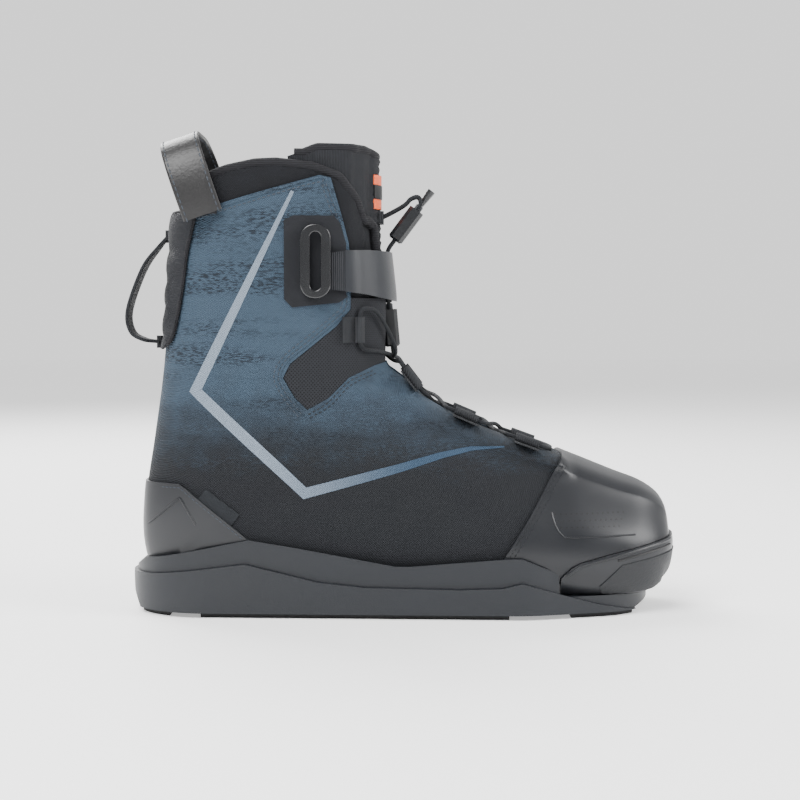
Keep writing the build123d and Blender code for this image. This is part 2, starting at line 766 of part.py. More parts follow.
finger_top_z = up(240)
finger_foot_z = up(172)
finger_x = {}
for z in (240, 172):
    hits = forms[0.0].find_intersection_points(Axis((along(-75), 0, up(z)), (-1, 0, 0)))
    finger_x[z] = min(hit[0].X for hit in hits) - finger_end_radius - finger_gap
loop_back = -177.0
finger_width = [(3.5, up(166)), (3.5, up(177)), (finger_band / 2, up(184)), (finger_band / 2, up(226)),
                (3.5, up(234)), (3.5, up(246))]
with BuildPart() as finger_loop:
    with BuildSketch(Plane.XZ):
        with BuildLine():
            Spline((finger_x[240], finger_top_z), (along(-163), up(223)), (along(loop_back) + 1, up(190)),
                   (along(-172), up(177)), (finger_x[172], finger_foot_z))
        trace(line_width=finger_wall)
    extrude(amount=finger_band / 2, both=True)
    with BuildSketch(Plane.YZ):
        with BuildLine():
            Polyline(*finger_width, *[(-y, z) for y, z in reversed(finger_width)], close=True)
        make_face()
    extrude(amount=2 * reach, both=True, mode=Mode.INTERSECT)
    for z in (240, 172):
        with BuildSketch(Plane.XY.offset(up(z) - 4)):
            with Locations((finger_x[z], 0)):
                Circle(finger_end_radius)
        extrude(amount=8)
write(finger_loop, "finger_loop")

tab_seat, tab_normal = side_point(quarter_out, -111.5, 68.5, -1)
with BuildPart() as side_tab:
    with BuildSketch(Plane(origin=tab_seat + tab_normal * 0.3, x_dir=(0.8, 0, -0.6), z_dir=tab_normal)):
        Rectangle(24, 9)
    extrude(amount=0.8)
write(side_tab, "side_tab")
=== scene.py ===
# %% [markdown]
# # A closed-toe laced boot on a moulded chassis
# The boot is sewn from flat pieces over a curved last: textile quarters, moulded overlays at heel and
# toe, a padded liner and a ribbed tongue. The chassis, locks and ring are hard and come from the packed
# frame. The soft pieces are made here as walls cut from one smooth form, as a pattern cutter would.

# %% Load the frame
import math

import bpy
import numpy as np
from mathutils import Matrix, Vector
from mathutils.bvhtree import BVHTree


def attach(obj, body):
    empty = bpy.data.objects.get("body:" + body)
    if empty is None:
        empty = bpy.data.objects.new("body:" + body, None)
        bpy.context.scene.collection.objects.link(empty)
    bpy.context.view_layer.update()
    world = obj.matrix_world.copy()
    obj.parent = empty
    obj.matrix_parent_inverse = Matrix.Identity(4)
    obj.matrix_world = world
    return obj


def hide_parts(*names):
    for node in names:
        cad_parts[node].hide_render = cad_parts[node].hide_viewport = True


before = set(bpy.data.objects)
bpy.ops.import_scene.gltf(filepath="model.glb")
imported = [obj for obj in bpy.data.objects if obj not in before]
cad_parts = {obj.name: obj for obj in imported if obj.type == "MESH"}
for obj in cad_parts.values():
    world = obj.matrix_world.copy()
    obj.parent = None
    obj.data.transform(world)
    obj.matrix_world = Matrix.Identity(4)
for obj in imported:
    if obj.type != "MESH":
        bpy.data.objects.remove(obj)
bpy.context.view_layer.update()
MM = 0.001

# %% [markdown]
# The boot is seen square from its outer side by a camera a little above it, about a metre away. A short
# telephoto lens keeps the near ledge of the chassis from looking too large.

# %% Camera
camera_data = bpy.data.cameras.new("camera")
camera_data.lens = 77.5
camera = bpy.data.objects.new("camera", camera_data)
bpy.context.scene.collection.objects.link(camera)
camera.location = (0.0, -1.12, 0.19)
aim = Vector((0.0, 0.0, 0.134)) - Vector(camera.location)
camera.rotation_euler = aim.to_track_quat("-Z", "Y").to_euler()
bpy.context.scene.camera = camera
print("camera", tuple(camera.location))

# %% [markdown]
# A shader graph is easier to read as a sum than as boxes and wires. This small class wraps a socket and
# turns each operator into its Math node, so `1 - mask` and `a * b` work in either order.

# %% Shader sums
class Field:
    """A value that varies over a surface, written like a number."""

    def __init__(self, finish, socket):
        self.finish = finish
        self.socket = socket

    def maths(self, operation, first, second=None):
        values = {0: first} if second is None else {0: first, 1: second}
        return self.finish.node("ShaderNodeMath", {"operation": operation}, values)

    def __add__(self, other):
        return self.maths("ADD", self, other)

    __radd__ = __add__

    def __rsub__(self, other):
        return self.maths("SUBTRACT", other, self)

    def __mul__(self, other):
        return self.maths("MULTIPLY", self, other)

    __rmul__ = __mul__

    def sine(self):
        return self.maths("SINE", self)

    def ramp(self, low, high):
        """0 at low, 1 at high, smooth between."""
        settings = {"interpolation_type": "SMOOTHSTEP"}
        return self.finish.node("ShaderNodeMapRange", settings, {"Value": self, 1: low, 2: high})


class Finish:
    """One material: a Principled shader, the place on the object in millimetres, and its nodes."""

    def __init__(self, name, colour, roughness, **constants):
        self.material = bpy.data.materials.new(name)
        self.material.use_nodes = True
        self.tree = self.material.node_tree
        self.shader = self.tree.nodes["Principled BSDF"]
        self.shader.inputs["Base Color"].default_value = (*colour, 1.0)
        self.shader.inputs["Roughness"].default_value = roughness
        for socket, value in constants.items():
            self.shader.inputs[socket.replace("_", " ")].default_value = value
        self.place = self.node("ShaderNodeTexCoord", {}, {}, "Object")
        split = self.node("ShaderNodeSeparateXYZ", {}, {"Vector": self.place}, "X")
        outputs = split.socket.node.outputs
        self.x, self.y, self.z = (Field(self, outputs[axis]) * 1000.0 for axis in "XYZ")

    def node(self, kind, settings, values, output=0):
        """Add a node: its settings first, then the values or links of its sockets."""
        made = self.tree.nodes.new(kind)
        for key, value in settings.items():
            setattr(made, key, value)
        for key, value in values.items():
            if isinstance(value, Field):
                self.tree.links.new(value.socket, made.inputs[key])
            else:
                made.inputs[key].default_value = value
        return Field(self, made.outputs[output])

    def noise(self, scale, detail=3.0, stretch=(1.0, 1.0, 1.0)):
        """Soft random cloud, its scale in features a millimetre."""
        moved = self.node("ShaderNodeVectorMath", {"operation": "MULTIPLY"},
                          {0: self.place, 1: tuple(1000.0 * scale * s for s in stretch)})
        return self.node("ShaderNodeTexNoise", {}, {"Vector": moved, "Scale": 1.0, "Detail": detail})

    def mix(self, share, first, second):
        """One colour to another."""
        values = {0: share}
        for key, colour in ((6, first), (7, second)):
            values[key] = colour if isinstance(colour, Field) else (*colour, 1.0)
        return self.node("ShaderNodeMix", {"data_type": "RGBA"}, values, 2)

    def feed(self, socket, field):
        self.tree.links.new(field.socket, self.shader.inputs[socket])

    def raise_by(self, height, depth):
        """Bump by a height field, depth in millimetres."""
        values = {"Height": height, "Distance": depth * MM, "Strength": 1.0}
        bump = self.node("ShaderNodeBump", {}, values)
        self.feed("Normal", bump)


print("shader sums ready")

# %% [markdown]
# Woven cloth is threads that pass over and under each other. Two sine waves at right angles give that
# grid, and a slow noise keeps it from looking printed. The waves run along height and round the boot.

# %% Woven and knitted cloth
def weave(finish, thread):
    """Height of a plain weave, its thread in millimetres."""
    turn = 2 * math.pi / thread
    round_boot = (finish.x + finish.y) * turn
    upward = finish.z * turn
    return round_boot.sine() * upward.sine()


def cloth(name, dark, light, thread, depth, roughness=0.85, sheen=0.03):
    """A woven cloth that varies between two colours."""
    finish = Finish(name, dark, roughness, Sheen_Weight=sheen, Sheen_Roughness=0.5, Specular_IOR_Level=0.15)
    threads = weave(finish, thread)
    clouds = finish.noise(0.12)
    share = (threads * 0.5 + 0.5) * 0.55 + clouds * 0.45
    finish.feed("Base Color", finish.mix(share, dark, light))
    finish.feed("Roughness", clouds * 0.16 + (roughness - 0.1))
    finish.raise_by(threads, depth)
    return finish.material


def ribbed(name, dark, light, pitch, depth, direction="z", roughness=0.8):
    """Webbing or knit with ribs across height ("z") or round the boot ("xy")."""
    finish = Finish(name, dark, roughness, Sheen_Weight=0.03, Specular_IOR_Level=0.2)
    along = finish.x + finish.y if direction == "xy" else finish.z
    ribs = (along * (2 * math.pi / pitch)).sine()
    fine = weave(finish, 0.8)
    share = ribs * 0.35 + fine * 0.15 + finish.noise(0.2) * 0.4 + 0.3
    finish.feed("Base Color", finish.mix(share, dark, light))
    finish.raise_by(ribs * 0.8 + fine * 0.25, depth)
    return finish.material


liner_knit = cloth("liner_knit", (0.004, 0.004, 0.005), (0.014, 0.015, 0.018), 1.0, 0.15)
pad_cloth = cloth("pad_cloth", (0.006, 0.0065, 0.008), (0.017, 0.018, 0.022), 0.9, 0.12, 0.6)
binding_cloth = ribbed("binding_cloth", (0.004, 0.004, 0.005), (0.016, 0.016, 0.019), 1.1, 0.12, "z")
tongue_knit = ribbed("tongue_knit", (0.004, 0.0045, 0.0055), (0.02, 0.021, 0.025), 1.2, 0.16, "xy")
webbing = ribbed("webbing", (0.006, 0.0065, 0.008), (0.028, 0.03, 0.034), 1.2, 0.2, "xy", 0.7)
gore_elastic = ribbed("gore_elastic", (0.004, 0.0045, 0.006), (0.03, 0.032, 0.037), 1.5, 0.3, "xy", 0.7)
print("cloths", len(bpy.data.materials))

# %% [markdown]
# Both quarters are cut from one cloth, slate blue over the ankle and black near the sole, with short dark
# flecks that lie in level rows. A noise that is squeezed in height makes the flecks, and a ramp on
# height, broken up by noise, makes the colours change over.

# %% Slate cloth
QUARTER_THREAD = 1.5
MESH_PITCH = 2.4


def slate_cloth():
    """The quarter's cloth: fleck rows on blue, fading to black towards the sole."""
    finish = Finish("slate_cloth", (0.02, 0.036, 0.055), 0.8, Sheen_Weight=0.04, Specular_IOR_Level=0.2)
    threads = weave(finish, QUARTER_THREAD)
    flecks = finish.noise(0.3, 5.0, (1.0, 1.0, 4.0)).ramp(0.44, 0.62)
    rows = finish.noise(0.03, 3.0, (0.35, 0.35, 2.4)).ramp(0.4, 0.62)
    blue = finish.mix(threads * 0.25 + 0.4, (0.024, 0.04, 0.06), (0.046, 0.073, 0.105))
    flecked = finish.mix(flecks * rows * 0.9, blue, (0.006, 0.009, 0.014))
    clouds = finish.noise(0.06, 5.0)
    height = finish.z + clouds * 44.0 + flecks * 12.0
    fade = height.ramp(112.0, 186.0)
    black = finish.mix(threads * 0.5 + 0.5, (0.003, 0.0035, 0.0045), (0.014, 0.0155, 0.019))
    finish.feed("Base Color", finish.mix(fade, black, flecked))
    finish.feed("Roughness", clouds * 0.2 + 0.66)
    finish.raise_by(threads + flecks * 0.4, 0.2)
    return finish.material


def mesh_cloth():
    """Open mesh: rows of small dark holes, each row shifted against the next."""
    finish = Finish("mesh_cloth", (0.01, 0.01, 0.012), 0.8, Sheen_Weight=0.02, Specular_IOR_Level=0.2)
    holes = weave(finish, MESH_PITCH).ramp(0.35, 0.65)
    finish.feed("Base Color", finish.mix(holes, (0.014, 0.015, 0.018), (0.001, 0.001, 0.0015)))
    finish.raise_by(1.0 - holes, 0.35)
    return finish.material


slate = slate_cloth()
gusset_mesh = mesh_cloth()
print("slate cloth and mesh made")

# %% [markdown]
# Moulded overlays, rubber and hard plastic differ mostly in gloss and grain. One function gives a fine
# pebble grain, a cloudy change of gloss from handling, and a slightly paler colour on raised grain.

# %% Moulded finishes
def moulded(name, dark, light, roughness, grain=1.6, depth=0.05, coat=0.0):
    """Plastic, rubber, leather or metal with pebble grain and cloudy gloss."""
    finish = Finish(name, dark, roughness, Coat_Roughness=0.25, Coat_Weight=coat, Specular_IOR_Level=0.4)
    pebbles = finish.noise(grain, 2.0)
    clouds = finish.noise(0.03, 4.0)
    finish.feed("Base Color", finish.mix(clouds * 0.6 + pebbles * 0.4, dark, light))
    finish.feed("Roughness", clouds * 0.18 + pebbles * 0.1 + (roughness - 0.14))
    finish.raise_by(pebbles, depth)
    return finish.material


overlay = moulded("overlay", (0.007, 0.0078, 0.0095), (0.014, 0.015, 0.018), 0.36, 1.2, 0.04)
rand_rubber = moulded("rand_rubber", (0.009, 0.01, 0.012), (0.017, 0.018, 0.021), 0.4, 1.0, 0.05)
rand_grip = moulded("rand_grip", (0.007, 0.008, 0.009), (0.017, 0.018, 0.021), 0.6, 0.7, 0.3)
chassis_plastic = moulded("chassis_plastic", (0.006, 0.0072, 0.0095), (0.012, 0.014, 0.018), 0.42, 1.3, 0.07)
pad_rubber = moulded("pad_rubber", (0.004, 0.004, 0.0045), (0.009, 0.009, 0.01), 0.7, 1.0, 0.1)
lock_plastic = moulded("lock_plastic", (0.005, 0.0055, 0.0065), (0.011, 0.012, 0.014), 0.32, 1.5, 0.03, 0.2)
button_plastic = moulded("button_plastic", (0.04, 0.042, 0.047), (0.065, 0.068, 0.075), 0.4, 1.5, 0.03)
ring_plastic = moulded("ring_plastic", (0.004, 0.0045, 0.0055), (0.009, 0.0095, 0.011), 0.22, 0.8, 0.02, 0.5)
strap_satin = moulded("strap_satin", (0.007, 0.008, 0.0105), (0.014, 0.016, 0.02), 0.38, 2.5, 0.05)
patch_orange = moulded("patch_orange", (0.62, 0.075, 0.02), (0.75, 0.13, 0.04), 0.45, 1.2, 0.05)
patch_black = moulded("patch_black", (0.003, 0.003, 0.0035), (0.007, 0.007, 0.008), 0.5, 1.2, 0.05)
foam = moulded("foam", (0.03, 0.03, 0.032), (0.045, 0.045, 0.048), 0.85, 1.0, 0.2)
steel = moulded("steel", (0.45, 0.46, 0.48), (0.6, 0.61, 0.63), 0.32, 2.0, 0.02)
steel.node_tree.nodes["Principled BSDF"].inputs["Metallic"].default_value = 1.0
leather = moulded("leather", (0.006, 0.0058, 0.006), (0.015, 0.0145, 0.015), 0.42, 0.5, 0.22)
thread_pale = cloth("thread_pale", (0.03, 0.036, 0.045), (0.06, 0.07, 0.085), 0.5, 0.05, 0.7)
thread_dark = cloth("thread_dark", (0.012, 0.013, 0.015), (0.03, 0.032, 0.036), 0.5, 0.05, 0.7)
braid = cloth("braid", (0.005, 0.0055, 0.0065), (0.024, 0.026, 0.03), 0.7, 0.12, 0.7)
label_cloth = cloth("label_cloth", (0.008, 0.009, 0.011), (0.03, 0.033, 0.037), 0.8, 0.15)


def stripe_ink():
    """Printed stripe: pale grey blue by the heel, deeper blue towards the toe."""
    finish = Finish("stripe_ink", (0.13, 0.17, 0.22), 0.7, Specular_IOR_Level=0.2)
    threads = weave(finish, QUARTER_THREAD)
    pale = finish.mix(threads * 0.5 + 0.5, (0.12, 0.15, 0.19), (0.2, 0.24, 0.29))
    deep = finish.mix(threads * 0.5 + 0.5, (0.016, 0.032, 0.058), (0.034, 0.062, 0.1))
    finish.feed("Base Color", finish.mix(finish.x.ramp(-95.0, 15.0), pale, deep))
    finish.raise_by(threads, 0.15)
    return finish.material


stripe_print = stripe_ink()
print("materials", len(bpy.data.materials))

# %% [markdown]
# The last, or form, is a stack of closed rings that lean from the sole up to the instep. Each is given
# by where it starts at the back and ends at the front, and by its half widths low, in the middle and
# high. A curve through the rings makes the form smooth. Moving every point inwards gives any layer
# under the first, so the layers of the boot follow each other at an even distance.

# %% The form of the boot
# back x, back z, front x, front z, half width low, middle and high, lean towards the inner side
SECTIONS = [
    (175, 34, 175, 52, 10, 13, 9, 3), (170.5, 24, 170.5, 70, 27, 29, 19, 3),
    (158, 14.5, 158, 81, 42, 42, 28, 3), (138, 9.5, 138, 89, 51, 51, 34, 3),
    (110, 9.5, 108, 101, 57, 55, 37, 2), (80, 9.5, 75, 113, 58, 55, 38, 2),
    (48, 9.5, 43, 125.5, 57, 53, 38, 1), (8, 9.5, 18.5, 139, 55, 51, 38, 0),
    (-38, 9.5, 5, 151.5, 53, 50, 40, 0), (-90, 9.5, -2, 160.5, 51, 50, 42, 0),
    (-130, 9.5, -4.6, 166, 49, 50, 44, 0), (-155, 17, -4, 175, 48, 50, 45, 0),
    (-165, 42, -3.5, 186, 48, 50, 46, 0), (-165, 75, -3.5, 200, 47, 50, 46.5, 0),
    (-160, 110, -5, 215, 46, 50, 46.5, 0), (-154.5, 150, -7, 232, 45, 50.5, 46.5, 0),
    (-150.5, 195, -9, 252, 45, 51, 46.5, 0), (-147, 242, -10, 274, 46, 52, 47, 0),
    (-143, 292, -9, 304, 46, 53, 47, 0),
]
# front x where the rings of the toe box begin, and the inset that the inward steps are measured with
INSTEP_ROWS_END = 108.0
TRIAL_INSET = 6.0


def smooth(points, steps, closed=False):
    """Points of a smooth curve that passes through the given points."""
    places = [np.array(point, float) for point in points]
    count = len(places)
    if not closed:
        places = [2 * places[0] - places[1]] + places + [2 * places[-1] - places[-2]]
    found = []
    for index in range(count if closed else count - 1):
        if closed:
            before, start, end, after = (places[(index + k - 1) % count] for k in range(4))
        else:
            before, start, end, after = places[index:index + 4]
        for step in range(steps):
            t = step / steps
            found.append(0.5 * (2 * start + (end - before) * t
                                + (2 * before - 5 * start + 4 * end - after) * t ** 2
                                + (3 * start - before - 3 * end + after) * t ** 3))
    if not closed:
        found.append(places[-2])
    return np.array(found)


def ring(row, inset):
    """One closed ring of the form, its points in millimetres."""
    back_x, back_z, front_x, front_z, low, middle, high, lean = row
    toe_share = min(1.0, max(0.0, (front_x - 115.0) / 60.0))
    back = np.array((back_x - toe_share * inset, back_z))
    front = np.array((front_x - toe_share * inset, front_z))
    length = np.linalg.norm(front - back)
    line = (front - back) / length
    low, middle, high = low - inset, middle - inset, high - inset
    corner = 0.72 if back_z < 20 else 0.55
    if front_x > INSTEP_ROWS_END - 1:
        brow, brow_share, shoulder, share = 0.885, 0.84, 0.955, 0.55
    else:
        flat = min(1.0, max(0.0, (front_x + 3.0) / 10.0))
        brow, brow_share = 0.9 + 0.01 * flat, 0.8 + 0.16 * flat
        shoulder, share = 0.974 + 0.01 * flat, 0.48 + 0.2 * flat
    half = [(inset, 0.0), (0.03 * length + 0.9 * inset, corner * low), (0.22 * length, low),
            (0.5 * length, middle), (0.8 * length, high),
            (brow * length - 0.5 * inset, brow_share * high),
            (shoulder * length - 0.8 * inset, share * high), (length - inset, 0.0)]
    whole = half + [(u, -v) for u, v in reversed(half[1:-1])]
    curve = smooth(whole, 8, closed=True)
    along = curve[:, 0]
    return np.column_stack((back[0] + line[0] * along, curve[:, 1] + lean, back[1] + line[1] * along))


def form_grid(steps):
    """The outer surface as rings of points, and the way each point moves for 1 mm of inset."""
    rows = smooth(SECTIONS, steps)
    outer = np.array([ring(row, 0.0) for row in rows])
    inner = np.array([ring(row, TRIAL_INSET) for row in rows])
    return outer, (inner - outer) / TRIAL_INSET


GRID, INWARD = form_grid(6)
print("form rings", GRID.shape)


# %% Closed skins and solid walls from the form
def skin_faces(rings, around, flip=False):
    """Quads between the rings and a fan at each end."""
    faces = []
    for r in range(rings - 1):
        for a in range(around):
            b = (a + 1) % around
            quad = (r * around + a, r * around + b, (r + 1) * around + b, (r + 1) * around + a)
            faces.append(quad if flip else quad[::-1])
    total = rings * around
    for a in range(around):
        b = (a + 1) % around
        low = (b, a, total)
        high = ((rings - 1) * around + a, (rings - 1) * around + b, total + 1)
        faces.append(low if flip else low[::-1])
        faces.append(high if flip else high[::-1])
    return faces


def skin_points(depth, grid=GRID, inward=INWARD):
    """Points of the closed skin at a depth, in metres, with the middles of both ends."""
    points = grid + inward * np.asarray(depth)[..., None]
    ends = np.array((points[0].mean(axis=0), points[-1].mean(axis=0)))
    return np.vstack((points.reshape(-1, 3), ends)) * MM


def new_object(name, points, faces):
    """An object in the scene, from places in metres and faces."""
    mesh = bpy.data.meshes.new(name)
    mesh.from_pydata([tuple(point) for point in points], [], faces)
    mesh.validate()
    made = bpy.data.objects.new(name, mesh)
    bpy.context.scene.collection.objects.link(made)
    return made


def wall(outside, inside, grid=GRID, inward=INWARD):
    """A hollow wall between two depths, ready to be cut."""
    outer = skin_points(outside, grid, inward)
    inner = skin_points(inside, grid, inward)
    rings, around = grid.shape[:2]
    faces = skin_faces(rings, around)
    faces += [tuple(len(outer) + i for i in face) for face in skin_faces(rings, around, flip=True)]
    return new_object("wall", np.vstack((outer, inner)), faces)


def prism(outline, y_from, y_to):
    """A side view outline in millimetres, made solid across the boot."""
    count = len(outline)
    points = [(x * MM, y * MM, z * MM) for y in (y_from, y_to) for x, z in outline]
    faces = [tuple(range(count)), tuple(range(2 * count - 1, count - 1, -1))]
    faces += [(i, i + count, (i + 1) % count + count, (i + 1) % count) for i in range(count)]
    made = new_object("prism", points, faces)
    tidy_normals(made)
    return made


def tidy_normals(made):
    """Turn every face outwards."""
    bpy.context.view_layer.objects.active = made
    bpy.ops.object.select_all(action="DESELECT")
    made.select_set(True)
    bpy.ops.object.mode_set(mode="EDIT")
    bpy.ops.mesh.select_all(action="SELECT")
    bpy.ops.mesh.normals_make_consistent(inside=False)
    bpy.ops.object.mode_set(mode="OBJECT")


def bake_modifiers(made):
    """Keep what the modifiers make as plain mesh."""
    graph = bpy.context.evaluated_depsgraph_get()
    mesh = bpy.data.meshes.new_from_object(made.evaluated_get(graph))
    made.modifiers.clear()
    made.data = mesh


def cut(made, tool, operation):
    """Cut a piece with a solid tool, and remove the tool."""
    modifier = made.modifiers.new("cut", "BOOLEAN")
    modifier.solver = "EXACT"
    modifier.operation = operation
    modifier.object = tool
    bake_modifiers(made)
    bpy.data.objects.remove(tool)


def dress(made, name, material, body="boot", angle=38.0):
    """Name a piece, give it its material, smooth it and tie it to a body."""
    made.name = name
    made.data.materials.clear()
    made.data.materials.append(material)
    made.data.shade_smooth()
    made.data.set_sharp_from_angle(angle=math.radians(angle))
    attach(made, body)
    return made


print("cutting tools ready")

# %% [markdown]
# Seams, piping and prints lie on the cloth, so their lines are drawn in side view and dropped onto the
# skin at the right depth. A ray across the boot finds each point and the way the surface faces there.

# %% Lines on the skin
SKINS = {}


def skin_tree(depth):
    """Search tree for rays against the skin at a depth, made once for each depth."""
    if depth not in SKINS:
        points = [Vector(point) for point in skin_points(depth)]
        SKINS[depth] = BVHTree.FromPolygons(points, skin_faces(*GRID.shape[:2]))
    return SKINS[depth]


def even(points, spacing):
    """Points at an even spacing along a line of points."""
    line = np.array(points, float)
    steps = np.linalg.norm(np.diff(line, axis=0), axis=1)
    run = np.concatenate(([0.0], np.cumsum(steps)))
    count = max(2, int(round(run[-1] / spacing)) + 1)
    places = np.linspace(0.0, run[-1], count)
    return np.column_stack([np.interp(places, run, line[:, k]) for k in range(line.shape[1])])


def beside(points, distance):
    """The line moved sideways in the side view."""
    line = np.array(points, float)
    turn = np.gradient(line, axis=0)
    turn /= np.linalg.norm(turn, axis=1)[:, None] + 1e-9
    return line + np.column_stack((-turn[:, 1], turn[:, 0])) * distance


def drop(points, side, depth, lift=0.0):
    """Places in metres, and normals, where a side view line lies on the skin."""
    tree = skin_tree(depth)
    found = []
    for x, z in points:
        hit, normal, _, _ = tree.ray_cast(Vector((x * MM, side * 0.2, z * MM)), Vector((0, -side, 0)))
        if hit is None:
            continue
        if normal.y * side < 0:
            normal = -normal
        found.append((hit + normal * lift * MM, normal))
    return found


def joined(name, lumps):
    """One object from several lists of points and faces."""
    points, faces = [], []
    for lump_points, lump_faces in lumps:
        faces += [tuple(len(points) + i for i in face) for face in lump_faces]
        points += [tuple(point) for point in lump_points]
    return new_object(name, points, faces)


def tube(line, radius, sides=10, radius_at=None):
    """A round tube along places in metres; radius in millimetres, changed by a rule if given."""
    line = [Vector(place) for place in line]
    count = len(line)
    side = None
    points, faces = [], []
    run = 0.0
    for k, place in enumerate(line):
        ahead = (line[min(k + 1, count - 1)] - line[max(k - 1, 0)]).normalized()
        if side is None:
            side = ahead.orthogonal().normalized()
        side = (side - ahead * side.dot(ahead)).normalized()
        other = ahead.cross(side)
        if k:
            run += (place - line[k - 1]).length / MM
        for a in range(sides):
            turn = 2 * math.pi * a / sides
            size = radius * (radius_at(run, turn) if radius_at else 1.0) * MM
            points.append(place + (side * math.cos(turn) + other * math.sin(turn)) * size)
    for k in range(count - 1):
        for a in range(sides):
            b = (a + 1) % sides
            faces.append((k * sides + a, k * sides + b, (k + 1) * sides + b, (k + 1) * sides + a))
    faces.append(tuple(range(sides - 1, -1, -1)))
    faces.append(tuple(range((count - 1) * sides, count * sides)))
    return points, faces


def stitches(found, pitch=3.2, length=2.1, radius=0.34):
    """A row of stitches along dropped places."""
    lumps = []
    if len(found) < 3:
        return lumps
    places = even([tuple(place) for place, _ in found], pitch * MM / 2)
    for k in range(0, len(places) - 1, 2):
        start = Vector(places[k])
        run = (Vector(places[k + 1]) - start)
        if run.length < 1e-7:
            continue
        ahead = run.normalized() * length * MM
        line = [start + ahead * share for share in (0.0, 0.15, 0.5, 0.85, 1.0)]
        sizes = (0.45, 0.9, 1.0, 0.9, 0.45)
        points, faces = tube(line, radius, 6)
        for index in range(len(points)):
            middle = line[index // 6]
            points[index] = middle + (points[index] - middle) * sizes[index // 6]
        lumps.append((points, faces))
    return lumps


SEAMS = {"thread_pale": [], "thread_dark": []}


def sew(points, side, depth, rows=(0.0,), thread="thread_dark", rounded=True):
    """Sew rows of stitches along a side view line."""
    line = smooth(points, 8) if rounded else points
    for distance in rows:
        found = drop(beside(even(line, 1.0), distance), side, depth, 0.12)
        SEAMS[thread] += stitches(found)


def welt(points, side, depth, radius, rounded=True):
    """A raised cord or embossed line along a side view line."""
    line = smooth(points, 8) if rounded else points
    found = drop(even(line, 1.2), side, depth)
    return [tube([place for place, _ in found], radius, 8)] if len(found) > 2 else []


print("lines on the skin ready")

# %% [markdown]
# Each sewn piece is the wall between two depths, cut by its outline as a press knife would cut it. The
# Boolean keeps the curve of the form and gives clean cut edges that smooth shading leaves sharp.

# %% Sewn pieces
QUARTER_DEPTH = 2.2
REACH = 120.0
BOTH = (-REACH, REACH)
OUTER = (-REACH, -0.15)
INNER = (0.15, REACH)
SIDES = {"outer": -1, "inner": 1}
HALVES = {"outer": OUTER, "inner": INNER}


def sewn(name, outside, inside, outline, half, material, replaced, body="boot", less=(),
         form=(GRID, INWARD), angle=38.0):
    """Cut one piece out of the wall between two depths of the form."""
    made = wall(outside, inside, *form)
    cut(made, prism(outline, *half), "INTERSECT")
    for tool in less:
        cut(made, prism(*tool), "DIFFERENCE")
    dress(made, name, material, body, angle)
    if replaced:
        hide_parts(*replaced)
    return made


GUSSET_EDGE = [(-31, 193), (-40, 182), (-56, 169), (-68.5, 159), (-73, 150), (-66, 138), (-58, 130),
               (-45, 137), (-32, 150), (-16, 157.5)]
QUARTER = [(-180, 251), (-127, 254), (-100, 262), (-50, 276), (-43, 274.5), (-36, 250), (-32, 234),
           (-30.5, 213)] + GUSSET_EDGE + [(20, 168), (114, 120), (114, 60), (80, 5), (-180, 5)]
GUSSET = [(x + 0.4, z) for x, z in GUSSET_EDGE] + [(2, 165), (2, 200), (-31, 200)]
SLOT = ([(-45, 80), (97, 80), (97, 330), (-45, 330)], -20.5, 20.5)
for side_name, half in HALVES.items():
    sewn(f"quarter_skin_{side_name}", QUARTER_DEPTH, 4.2, QUARTER, half, slate,
         (f"quarter_{side_name}",), less=(SLOT,))
    sewn(f"gusset_skin_{side_name}", 2.6, 4.2, GUSSET, half, gusset_mesh,
         (f"ankle_gusset_{side_name}",), less=(SLOT,))
print("quarters and gussets")

# %% Overlays at heel and toe
RAND_DEPTH = -1.6
RAND_TOP = [(102.4, 27.5), (107, 32), (112.6, 35), (130, 39.5), (160, 45.8), (190, 51.6)]
HEEL_EDGE = [(-185, 83.5), (-139, 83.5), (-134.4, 80.6), (-94.7, 48.6)]
TOE_SEAM = [(65, 38), (84, 68), (102, 98), (112, 118)]
sewn("heel_cup_skin", 0.0, 2.0, HEEL_EDGE + [(-94.7, 10), (-185, 10)], BOTH, overlay,
     ("heel_cup",))
TOE_CAP = (TOE_SEAM + [(190, 118)] + [(x, z + 0.3) for x, z in RAND_TOP[::-1]]
           + [(99.8, 25.5), (99.8, 5), (52, 5)])
sewn("toe_cap_skin", 0.0, 2.0, TOE_CAP, BOTH, overlay, ("toe_cap",))
sewn("toe_rand_skin", RAND_DEPTH, 1.9, RAND_TOP + [(190, 13), (100.3, 13), (100.3, 25)], BOTH,
     rand_rubber, ("toe_rand",))
sewn("toe_rand_grip", -2.1, -1.0, [(125, 19.5), (139, 33.2), (160, 37.0), (190, 42.5), (190, 16), (127, 14)],
     BOTH, rand_grip, ())
print("overlays")

# %% [markdown]
# The tongue fills the opening at the shin and its wings lie inside the liner, so its depth changes round
# the ring. Ribs run across its front, and quilting on the rear pad is the same trick: a depth that
# follows a rule of height.

# %% Quilted rear pad, ribbed tongue and liner
FINE, FINE_IN = form_grid(12)
FINE_ANGLE = 60.0
# depth of the tongue beside its front, half width of that front, and the pitch of its ribs
WING_DEPTH = 8.8
FRONT_HALF_WIDTH = 19.5
RIB_PITCH = 4.6
CHANNELS = [164.0, 175.0, 194.0, 212.0, 231.0, 256.0]


def quilt_depth(z):
    """Depth of the rear pad's face: bulges between the quilted channels."""
    share = np.interp(z, CHANNELS, range(len(CHANNELS)))
    return -2.1 * np.abs(np.sin(np.pi * share)) ** 0.6 + 0.5


